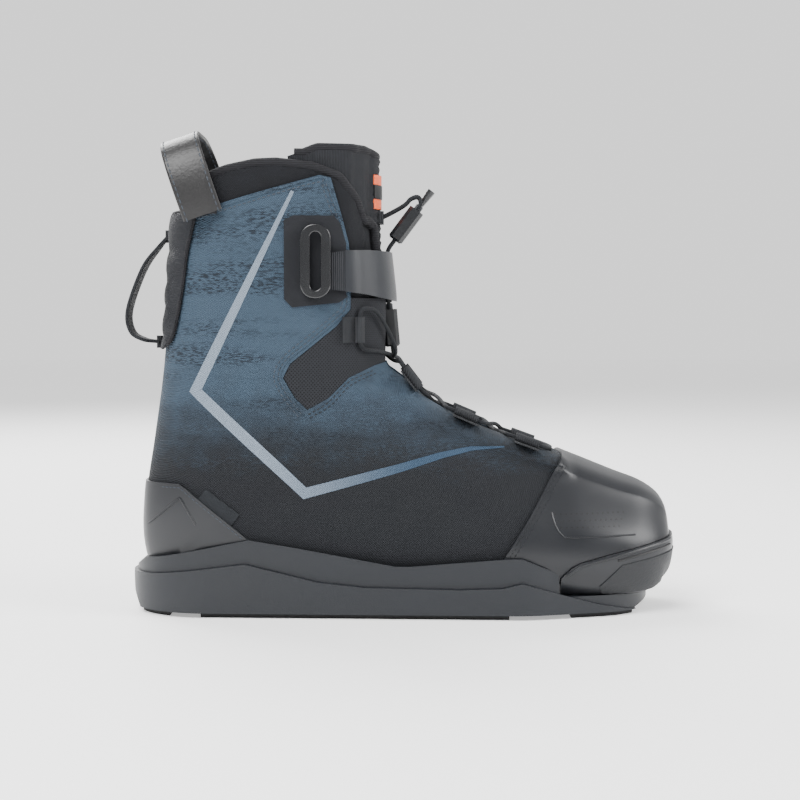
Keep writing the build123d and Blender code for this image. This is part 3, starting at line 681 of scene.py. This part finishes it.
def tongue_depth(grid):
    """Depth of the tongue's face: raised and ribbed at the shin, level in the wings."""
    front = grid[:, :, 0].max(axis=1)
    wanted = np.where(front < 3.0, np.clip(13.0 + front, 3.6, 9.5), 8.7)
    y = np.abs(grid[:, :, 1])
    x = grid[:, :, 0]
    facing = np.clip((FRONT_HALF_WIDTH - y) / 3.0, 0.0, 1.0) * (x > front[:, None] - 16.0)
    ribs = 0.55 * np.sin(2 * np.pi * grid[:, :, 2] / RIB_PITCH) * (front[:, None] < 0.0)
    return WING_DEPTH + (wanted[:, None] + ribs + 0.012 * y * y - WING_DEPTH) * facing


PAD = [(-185, 251), (-128, 254), (-134.4, 228.5), (-137.6, 204), (-144, 175), (-151.7, 168), (-185, 165)]
rear_pad = sewn("rear_pad_quilt", quilt_depth(FINE[:, :, 2]), np.full(FINE.shape[:2], 2.1), PAD, BOTH,
                pad_cloth, ("rear_pad",), form=(FINE, FINE_IN), angle=FINE_ANGLE)
TONGUE_TOP = [(-70, 288), (-61, 291), (-54, 294), (-46, 296), (-31, 296), (-23, 294), (-15, 290), (30, 280)]
TONGUE = TONGUE_TOP + [(30, 170), (100, 170), (100, 78), (50, 92), (0, 118), (-45, 150), (-60, 200)]
tongue = sewn("tongue_knit", tongue_depth(FINE), tongue_depth(FINE) + 4.0, TONGUE, BOTH, tongue_knit,
              ("tongue",), form=(FINE, FINE_IN), angle=FINE_ANGLE)
LINER_TOP = [(-185, 256), (-150, 262), (-130, 272), (-108, 280), (-90, 283.5), (-77, 284), (-55, 281.5),
             (-38, 275.5), (-28, 262), (-23.5, 249)]
LINER = ([(x, z - 2.0) for x, z in LINER_TOP]
         + [(-20, 200), (-18, 168), (20, 168), (190, 168), (190, 12), (-185, 12)])
LINER_SLOT = ([(-42, 80), (93, 80), (93, 330), (-42, 330)], -18.0, 18.0)
liner = sewn("liner_skin", 4.4, 8.4, LINER, BOTH, liner_knit, ("liner",), less=(LINER_SLOT,))
print("pad, tongue and liner")

# %% [markdown]
# A rolled binding finishes the collar and runs a little way down beside the tongue. Its line isn't flat,
# so it's found by turning round the shaft and looking for the place on the skin where the height is that
# of the top edge.

# %% Bindings round the collar
SHAFT_X = -90.0
COLLAR_DEPTH = 6.4
COLLAR_RADIUS = 3.0
TONGUE_ROLL_RADIUS = 2.9


def round_shaft(depth, edge, start, finish, count):
    """Places round the shaft, on the skin at a depth, that follow a top edge given in side view."""
    tree = skin_tree(depth)
    xs, zs = zip(*edge)
    places = []
    for turn in np.linspace(math.radians(start), math.radians(finish), count):
        way = Vector((math.cos(turn), math.sin(turn), 0.0))
        z = 265.0
        for _ in range(8):
            hit, _, _, _ = tree.ray_cast(Vector((SHAFT_X * MM, 0.0, z * MM)), way)
            if hit is None:
                break
            z = float(np.interp(hit.x / MM, xs, zs))
        if hit is not None:
            places.append(hit)
    return places


def front_edge(side):
    """Places up the front edge of the liner, beside the tongue."""
    tree = skin_tree(COLLAR_DEPTH)
    places = []
    for z in np.linspace(228.0, 245.0, 10):
        hit, _, _, _ = tree.ray_cast(Vector((0.05, side * 18.6 * MM, z * MM)), Vector((-1, 0, 0)))
        places.append(hit)
    return places


collar_line = round_shaft(COLLAR_DEPTH, LINER_TOP, 19.5, 340.5, 160)
collar_line = front_edge(1) + collar_line + front_edge(-1)[::-1]
collar_line = [Vector(place) for place in even([tuple(place) for place in collar_line], 2.0 * MM)]
collar = new_object("collar", *tube(collar_line, COLLAR_RADIUS, 12))
dress(collar, "collar_roll", binding_cloth, "boot")
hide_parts("collar_binding")
TONGUE_EDGE = [(-61, 290.5), (-54, 293.5), (-46, 295.5), (-31, 295.5), (-23, 293.5), (-13, 290), (20, 285)]


def tongue_rim():
    """The top edge of the tongue, found on the tongue itself."""
    mesh = tongue.data
    corners = [vertex.co.copy() for vertex in mesh.vertices]
    tree = BVHTree.FromPolygons(corners, [tuple(face.vertices) for face in mesh.polygons])
    xs, zs = zip(*TONGUE_EDGE)
    places = []
    for turn in np.linspace(math.radians(-84), math.radians(84), 80):
        way = Vector((math.cos(turn), math.sin(turn), 0.0))
        z = 285.0
        for _ in range(5):
            hit, _, _, _ = tree.ray_cast(Vector((-75.0 * MM, 0.0, z * MM)), way)
            if hit is None:
                break
            z = min(float(np.interp(hit.x / MM, xs, zs)), 294.0) - 1.5
        if hit is not None:
            places.append(hit + way * 0.0018 + Vector((0, 0, 0.0012)))
    return places


rim = new_object("rim", *tube(tongue_rim(), TONGUE_ROLL_RADIUS, 12))
dress(rim, "tongue_roll", binding_cloth, "boot")
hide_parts("tongue_binding")
print("bindings")

# %% [markdown]
# The ankle strap is a satin band sewn to the inner side. It wraps the shin, ends in a ribbed elastic
# gore, and closes by a ring and a hook patch on the outer side. It rides on its own body, so it opens.

# %% Ankle strap
STRAP = [(-58, 229), (-34, 229.5), (-20, 230), (14, 229), (14, 198), (-2, 198), (-20, 202), (-34, 204),
         (-58, 204)]
TAIL = ([(-80, 240), (-34, 240), (-34, 190), (-80, 190)], -REACH, -1.0)
sewn("strap_skin", -1.85, 0.15, STRAP, BOTH, strap_satin, ("strap_band",), "ankle_strap",
     less=(TAIL,))
sewn("gore_skin", -1.6, 1.1, [(-43.5, 228), (-33.9, 229), (-33.9, 204.3), (-43.5, 205)], OUTER, gore_elastic,
     ("strap_gore", "strap_hook_patch"), "ankle_strap")
sewn("anchor_skin", -1.85, 2.1, [(-84, 231), (-59, 231), (-59, 202), (-84, 202)], INNER, strap_satin,
     ("strap_anchor",))
PATCH = [(-72, 248), (-66, 251), (-41, 251), (-37, 246), (-33.5, 234), (-33.5, 200), (-38, 197), (-67, 194),
         (-72, 199)]
sewn("loop_patch_skin", 1.35, 2.15, PATCH, OUTER, pad_cloth, ("strap_loop_patch",))
print("strap")

# %% [markdown]
# A webbing or leather loop is a flat band that follows a curve in space. At each step it needs its middle,
# the way its width runs, and the way its face looks; rounded edges keep it from looking like card.

# %% Pull loops
def band(frames, width_at, thickness):
    """A flat band: frames hold middle, width direction and face direction, sizes in millimetres."""
    points, faces = [], []
    corners = [(-1, -0.5), (-0.97, -0.9), (-0.9, -1), (0.9, -1), (0.97, -0.9), (1, -0.5), (1, 0.5),
               (0.97, 0.9), (0.9, 1), (-0.9, 1), (-0.97, 0.9), (-1, 0.5)]
    count = len(corners)
    for k, (middle, across, face) in enumerate(frames):
        width = width_at(k / (len(frames) - 1))
        for u, v in corners:
            points.append(middle + across * (u * width / 2 * MM) + face * (v * thickness / 2 * MM))
    for k in range(len(frames) - 1):
        for a in range(count):
            b = (a + 1) % count
            faces.append((k * count + a, k * count + b, (k + 1) * count + b, (k + 1) * count + a))
    faces.append(tuple(range(count - 1, -1, -1)))
    faces.append(tuple(range((len(frames) - 1) * count, len(frames) * count)))
    return points, faces


LOOP_FOOT = (-122.0, 49.6, 251.0)
LOOP_LEAN = math.radians(19.0)
LOOP_RISE = 50.0
LOOP_WIDTH = 25.0
LOOP_THICKNESS = 2.4


def loop_frames(steps=48):
    """Middle, width way and face way along the arch of the pull loop."""
    middles = []
    for step in range(steps + 1):
        turn = math.pi * step / steps
        rise = math.sin(turn)
        side = 1.0 if math.cos(turn) >= 0 else -1.0
        spread = side * abs(math.cos(turn)) ** 0.4
        height = LOOP_RISE * rise
        middle = Vector((LOOP_FOOT[0] - height * math.tan(LOOP_LEAN),
                         LOOP_FOOT[1] * spread + 4.0 * math.sin(2 * turn), LOOP_FOOT[2] + height)) * MM
        middles.append(middle)
    across = Vector((math.cos(LOOP_LEAN), 0.0, math.sin(LOOP_LEAN)))
    out = []
    for k, middle in enumerate(middles):
        ahead = (middles[min(k + 1, steps)] - middles[max(k - 1, 0)]).normalized()
        share = math.sin(math.pi * k / steps) ** 0.6
        wide = (Vector((1, 0, 0)) * (1 - share) + across * share)
        wide = (wide - ahead * wide.dot(ahead)).normalized()
        out.append((middle, wide, ahead.cross(wide).normalized()))
    return out


frames = loop_frames()
pull_loop = new_object("pull", *band(frames, lambda share: LOOP_WIDTH, LOOP_THICKNESS))
dress(pull_loop, "pull_loop_leather", leather, "pull_loop", 50)
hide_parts("pull_loop")
lumps = []
for edge in (-1, 1):
    for face_side in (-1, 1):
        row = [(middle + wide * (edge * 10.3 * MM) + face * (face_side * 1.25 * MM), face)
               for middle, wide, face in frames]
        lumps += stitches(row, 4.0, 2.8, 0.42)
loop_thread = joined("loop_thread", lumps)
dress(loop_thread, "pull_loop_stitching", thread_pale, "pull_loop")

FINGER = smooth([(-150, 240), (-156, 233), (-166, 219), (-175.5, 193), (-174, 179), (-166, 173.5),
                 (-156, 172)], 8)
finger_frames = []
for k, (x, z) in enumerate(FINGER):
    ahead = Vector((*(FINGER[min(k + 1, len(FINGER) - 1)] - FINGER[max(k - 1, 0)]), 0)).normalized()
    finger_frames.append((Vector((x, 0, z)) * MM, Vector((0, 1, 0)), Vector((-ahead.y, 0, ahead.x))))


def finger_width(share):
    """Width of the finger loop along its length, narrow at both ends."""
    return float(np.interp(share, (0, 0.1, 0.3, 0.85, 0.97, 1), (6, 7, 20, 20, 8, 6)))


finger = joined("finger", [band(finger_frames, finger_width, 2.2),
                           tube([(-0.150, 0, 0.236), (-0.150, 0, 0.244)], 2.0),
                           tube([(-0.156, 0, 0.168), (-0.156, 0, 0.176)], 2.0)])
dress(finger, "finger_loop_webbing", webbing, "finger_loop", 50)
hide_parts("finger_loop")
print("pull loops")

# %% [markdown]
# The laces are held in their guides and locks and only bend between them. Their middle lines are smooth
# splines through the guides, and a fine diamond pattern on the radius stands for the braid.

# %% Laces
LACE_RADIUS = 1.3


def spline_line(route):
    """Places along a smooth spline whose control points are given in millimetres."""
    curve = bpy.data.curves.new("route", "CURVE")
    curve.dimensions = "3D"
    spline = curve.splines.new("NURBS")
    spline.points.add(len(route) - 1)
    for point, place in zip(spline.points, route):
        point.co = (*[c * MM for c in place], 1.0)
    spline.order_u = 3
    spline.use_endpoint_u = True
    spline.resolution_u = 12
    holder = bpy.data.objects.new("route", curve)
    bpy.context.scene.collection.objects.link(holder)
    bpy.context.view_layer.update()
    mesh = bpy.data.meshes.new_from_object(holder)
    line = [vertex.co.copy() for vertex in mesh.vertices]
    bpy.data.objects.remove(holder)
    return line


def braid_size(run, turn):
    """Share of the radius at a place along and round the lace."""
    return 1.0 + 0.07 * math.cos(4 * turn + run * 1.9) * math.cos(4 * turn - run * 1.9)


def lace(line):
    return tube(even([tuple(place) for place in line], 0.8 * MM), LACE_RADIUS, 12, braid_size)


HALF = [(-7.4, -5.2, 197.4), (-5.7, -5.2, 179), (-4.6, -5.2, 166), (-3.9, -7.5, 162), (-1.9, -19, 168),
        (-13.4, -33.5, 191.5), (-20, -40.5, 194), (-25.1, -41.9, 192.5), (-25.1, -41.9, 180),
        (-25.1, -41.9, 167.5), (-13.4, -33, 167), (-2.2, 0, 162.3), (0, 22, 160), (1.8, 24.6, 156.8),
        (7.6, 24.6, 149.1), (14, 24.6, 140.8), (18, 22, 138.2), (23.9, 0, 137), (29, -22, 131),
        (32, -24.6, 129.8), (42, -24.6, 125.4), (53, -24.6, 120.7), (56, -22, 119.9), (62.4, 0, 119),
        (67, 22, 114), (70, 24.6, 113), (80, 24.6, 109.4), (91, 24.6, 105.4), (95.5, 19, 104),
        (98.2, 0, 103.6)]
MIRROR = [(x, -y, z) for x, y, z in HALF[:-1]]
UNDER = {11: (-4.6, 0, 159.5), 17: (22.2, 0, 132.6), 23: (60.8, 0, 115)}
for index, place in UNDER.items():
    MIRROR[index] = place
lower_lace = joined("lower", [lace(spline_line(HALF + MIRROR[::-1]))])
dress(lower_lace, "lower_lace_braid", braid, "boot", 60)
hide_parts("lower_lace")
LEAN = Vector((0.60, 0, 0.80))
upper_lumps = []
for side in (-1, 1):
    y = side * 5.2
    foot = Vector((-3.6, y, 237.5))
    top = foot + LEAN * 24
    route = [(-12.2, y, 252), (-4.8, y, 255.5), (4.5, y, 261), tuple(top + Vector((-4.5, 0, 7.5))),
             tuple(top + Vector((1.5, 0, 9.5))), tuple(top + LEAN * 5), tuple(top), tuple(foot + LEAN * 12),
             tuple(foot), tuple(foot - LEAN * 7), (-8.9, y, 226), (-9.2, y, 219), (-9.6, y, 211)]
    upper_lumps.append(lace(spline_line(route)))
upper_lace = joined("upper", upper_lumps)
dress(upper_lace, "upper_lace_braid", braid, "boot", 60)
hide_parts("upper_lace")
print("laces")

# %% [markdown]
# Small things make the boot read as sewn: rows of thread along each seam, a printed stripe, a plain
# woven label, a moulded patch on the tongue, embossed lines and punched dots on the overlays.

# %% Stripe, label and tongue patch
def mitred(points, spacing):
    """Even points that keep the corners, with the sideways step of 1 mm that a mitre needs there."""
    corners = np.array(points, float)
    runs = np.diff(corners, axis=0)
    runs /= np.linalg.norm(runs, axis=1)[:, None]
    sides = np.column_stack((-runs[:, 1], runs[:, 0]))
    line, steps = [], []
    for index, side_step in enumerate(sides):
        stretch = even(corners[index:index + 2], spacing)
        for number, place in enumerate(stretch[:-1]):
            step = side_step
            if number == 0 and index:
                both = sides[index - 1] + side_step
                step = both / max(0.35, float(both @ both) / 2)
            line.append(place)
            steps.append(step)
    line.append(corners[-1])
    steps.append(sides[-1])
    return np.array(line), np.array(steps)


def ribbon(points, widths, side, depth, lift, columns=4):
    """A thin printed or woven strip that lies on the skin."""
    line, steps = mitred(points, 2.0)
    run = np.linspace(0, 1, len(line))
    wide = np.interp(run, np.linspace(0, 1, len(widths)), widths)
    rows = []
    for column in range(columns + 1):
        share = column / columns * 2 - 1
        rows.append(drop(line + steps * (share * wide / 2)[:, None], side, depth, lift))
    count = min(len(row) for row in rows)
    points = [place for row in rows for place, _ in row[:count]]
    faces = [(c * count + k, c * count + k + 1, (c + 1) * count + k + 1, (c + 1) * count + k)
             for c in range(columns) for k in range(count - 1)]
    made = new_object("ribbon", points, faces)
    thick = made.modifiers.new("thick", "SOLIDIFY")
    thick.thickness = 0.25 * MM
    thick.offset = 0.0
    bake_modifiers(made)
    return made


STRIPE = [(-66.5, 266), (-128, 142), (-59.5, 78), (0, 93.5), (26, 101), (45, 105), (66, 106)]
STRIPE_WIDTHS = (2.2, 3.2, 4.4, 5.4, 6.2, 6.8, 7.0, 7.0, 6.6, 6.2, 5.6, 4.6, 3.2, 0.8)
for side_name, side in SIDES.items():
    printed = ribbon(STRIPE, STRIPE_WIDTHS, side, QUARTER_DEPTH, 0.1)
    dress(printed, f"stripe_{side_name}", stripe_print, "boot")
label = ribbon([(-124, 77), (-103, 61)], (9.0, 9.0), SIDES["outer"], QUARTER_DEPTH, 0.7)
dress(label, "side_label", label_cloth, "boot")
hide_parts("side_tab")


PATCH_ROWS, PATCH_COLUMNS = 8, 13
PATCH_HALF_WIDTH = 13.5
TONGUE_FACE_X = -13.4


def patch_plate(name, z_low, z_high, material, lift=1.5):
    """A moulded plate, curved like the front of the tongue that it lies on."""
    points = []
    for z in np.linspace(z_low, z_high, PATCH_ROWS):
        for y in np.linspace(-PATCH_HALF_WIDTH, PATCH_HALF_WIDTH, PATCH_COLUMNS):
            points.append(((TONGUE_FACE_X + lift - 0.024 * y * y) * MM, y * MM, z * MM))
    faces = []
    for row in range(PATCH_ROWS - 1):
        for column in range(PATCH_COLUMNS - 1):
            low = row * PATCH_COLUMNS + column
            high = low + PATCH_COLUMNS
            faces.append((low, low + 1, high + 1, high))
    made = new_object(name, points, faces)
    thick = made.modifiers.new("thick", "SOLIDIFY")
    thick.thickness = 1.8 * MM
    soft = made.modifiers.new("soft", "BEVEL")
    soft.width = 0.4 * MM
    soft.segments = 2
    bake_modifiers(made)
    return dress(made, name, material, "boot", 50)


patch = patch_plate("patch_middle", 263.5, 272.5, patch_black, lift=1.9)
patch_plate("patch_top", 272.5, 279, patch_orange)
patch_plate("patch_foot", 257, 263.5, patch_orange)
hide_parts("tongue_patch")
print("prints and patches")

# %% Seams, welts and dots
WELTS = {"overlay": [], "binding": [], "slate": [], "dots": []}
TOP_BORDER = [(-127, 252), (-100, 260), (-52, 274), (-45, 271)]
FRONT_BORDER = [(-45, 271), (-38, 250), (-34, 234), (-32.5, 213), (-33, 194), (-42, 184), (-58, 171),
                (-70, 161), (-75, 151), (-70, 140), (-60, 127)]
TONGUE_SIDE_SEAM = [(-58, 128), (-46, 135), (-33, 148), (-17, 155.5)]
TOE_STITCH_LINE = [(67.5, 38), (86.5, 68), (104, 96)]
HEEL_STITCH_LINE = [(-150, 81), (-140, 81), (-135, 78.5), (-98, 49)]
# piece the line is joined into, its line, its depth, its radius, and whether its corners are rounded
WELT_LINES = [
    ("slate", FRONT_BORDER, QUARTER_DEPTH, 0.75, True),
    ("slate", TOP_BORDER, QUARTER_DEPTH, 0.75, True),
    ("overlay", [(95, 66), (97, 58), (101, 52.5), (108, 50.8), (148, 51.5)], 0.0, 0.55, True),
    ("overlay", [(-160, 57), (-138, 75), (-128, 58)], 0.0, 0.7, False),
    ("overlay", [(104, 27.5), (113.5, 33.6), (130, 38), (158, 44), (172, 47)], RAND_DEPTH, 1.0, True),
    ("dots", [(136, 36.2), (155, 40.2), (172, 43.6)], RAND_DEPTH, 0.7, True),
    ("binding", [(-128, 253), (-134, 228.5), (-137.6, 204), (-144, 176), (-152, 168.5)], 0.0, 1.3, True),
]
DOT_ROWS, DOTS_IN_FIRST_ROW, DOT_PITCH, DOT_ROW_PITCH = 3, 14, 3.4, 4.0
for side in SIDES.values():
    sew(TOP_BORDER, side, QUARTER_DEPTH, (0.0, -2.6), "thread_pale")
    sew(FRONT_BORDER, side, QUARTER_DEPTH, (-1.0, -3.6), "thread_pale")
    sew(TONGUE_SIDE_SEAM, side, QUARTER_DEPTH, (-1.0, -3.4))
    sew(TOE_STITCH_LINE, side, 0.0, (0.0, -2.6))
    sew(HEEL_STITCH_LINE, side, 0.0, (0.0,), "thread_pale")
    for target, points, depth, radius, rounded in WELT_LINES:
        WELTS[target] += welt(points, side, depth, radius, rounded)
    for row in range(DOT_ROWS):
        for column in range(DOTS_IN_FIRST_ROW - row):
            dot_x = 97 + column * DOT_PITCH + row * DOT_PITCH / 2
            spot = drop([(dot_x, 65 - row * DOT_ROW_PITCH)], side, 0.0)
            for place, normal in spot:
                WELTS["dots"].append(tube([place - normal * 0.0004, place + normal * 0.00006], 0.7, 8))
for lumps, name, material, slot in (
        (SEAMS["thread_pale"], "stitching_pale", thread_pale, "slate_fabric"),
        (SEAMS["thread_dark"], "stitching_dark", thread_dark, "slate_fabric"),
        (WELTS["slate"], "quarter_welts", slate, "slate_fabric"),
        (WELTS["overlay"], "overlay_welts", overlay, "overlay"),
        (WELTS["binding"], "pad_piping", binding_cloth, "binding_fabric"),
        (WELTS["dots"], "punched_dots", patch_black, "overlay")):
    dress(joined("t", lumps), name, material, "boot")
pad_top = round_shaft(1.6, [(-185, 251.5), (-128, 254)], 118, 242, 50)
dress(new_object("t", *tube(pad_top, 1.8)), "pad_top_piping", binding_cloth, "boot")
print("seams and dots")

# %% [markdown]
# The hard pieces keep their shape from the frame and only need a finish.

# %% Finishes for the hard pieces
FINISHES = {
    "chassis": chassis_plastic, "heel_pad": pad_rubber, "middle_pad": pad_rubber, "toe_pad": pad_rubber,
    "chassis_screws": steel, "tee_nuts": steel, "midsole": foam, "footbed": liner_knit,
    "tongue_keeper_upper": webbing, "tongue_keeper_lower": webbing, "lower_cord_ends": lock_plastic,
    "upper_cord_end": lock_plastic, "lower_lock_body": lock_plastic, "upper_lock_body": lock_plastic,
    "lower_lock_button": button_plastic, "upper_lock_button": button_plastic, "lower_lock_spring": steel,
    "upper_lock_spring": steel, "strap_ring": ring_plastic,
}
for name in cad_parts:
    if name.startswith("lace_guide"):
        FINISHES[name] = webbing
for name, material in FINISHES.items():
    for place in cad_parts[name].material_slots:
        place.material = material
print("hard pieces", len(FINISHES))

# %% [markdown]
# A plain pale floor, a white backdrop behind it and three soft lamps: a broad one above and in front for
# the shape, a second from the toe for the edges, and a third from behind that lifts the dark cloth off
# the background. The floor glows a little, so it stays pale where the lamps don't reach.

# %% Floor and light
FLOOR_REACH = 6
BACKDROP_REACH, BACKDROP_HEIGHT = 20, 14
around = ((-1, -1), (1, -1), (1, 1), (-1, 1))
floor = new_object("floor", [(x * FLOOR_REACH, y * FLOOR_REACH, 0) for x, y in around], [(0, 1, 2, 3)])
floor_finish = Finish("floor", (0.9, 0.9, 0.9), 0.8, Emission_Color=(1, 1, 1, 1), Emission_Strength=0.45)
floor.data.materials.append(floor_finish.material)
backdrop_corners = [(x * BACKDROP_REACH, FLOOR_REACH, (z + 1) / 2 * BACKDROP_HEIGHT) for x, z in around]
backdrop = new_object("backdrop", backdrop_corners, [(3, 2, 1, 0)])
backdrop_finish = Finish("backdrop", (0, 0, 0), 1.0, Emission_Color=(1, 1, 1, 1), Emission_Strength=1.3)
backdrop.data.materials.append(backdrop_finish.material)


def lamp(name, place, size, power):
    """A soft square lamp that points at the middle of the boot."""
    data = bpy.data.lights.new(name, "AREA")
    data.energy = power
    data.size = size
    made = bpy.data.objects.new(name, data)
    bpy.context.scene.collection.objects.link(made)
    made.location = place
    made.rotation_euler = (Vector((0, 0, 0.13)) - Vector(place)).to_track_quat("-Z", "Y").to_euler()


lamp("front_above", (-0.7, -1.2, 1.6), 1.2, 75.0)
lamp("toe", (1.5, -0.5, 0.9), 0.9, 34.0)
lamp("behind", (-0.7, 1.3, 1.4), 1.2, 60.0)
world = bpy.data.worlds.new("studio")
world.use_nodes = True
world.node_tree.nodes["Background"].inputs["Color"].default_value = (1, 1, 1, 1)
world.node_tree.nodes["Background"].inputs["Strength"].default_value = 0.4
bpy.context.scene.world = world
print("lights", len(bpy.data.lights))

# %% The end
bpy.context.view_layer.update()
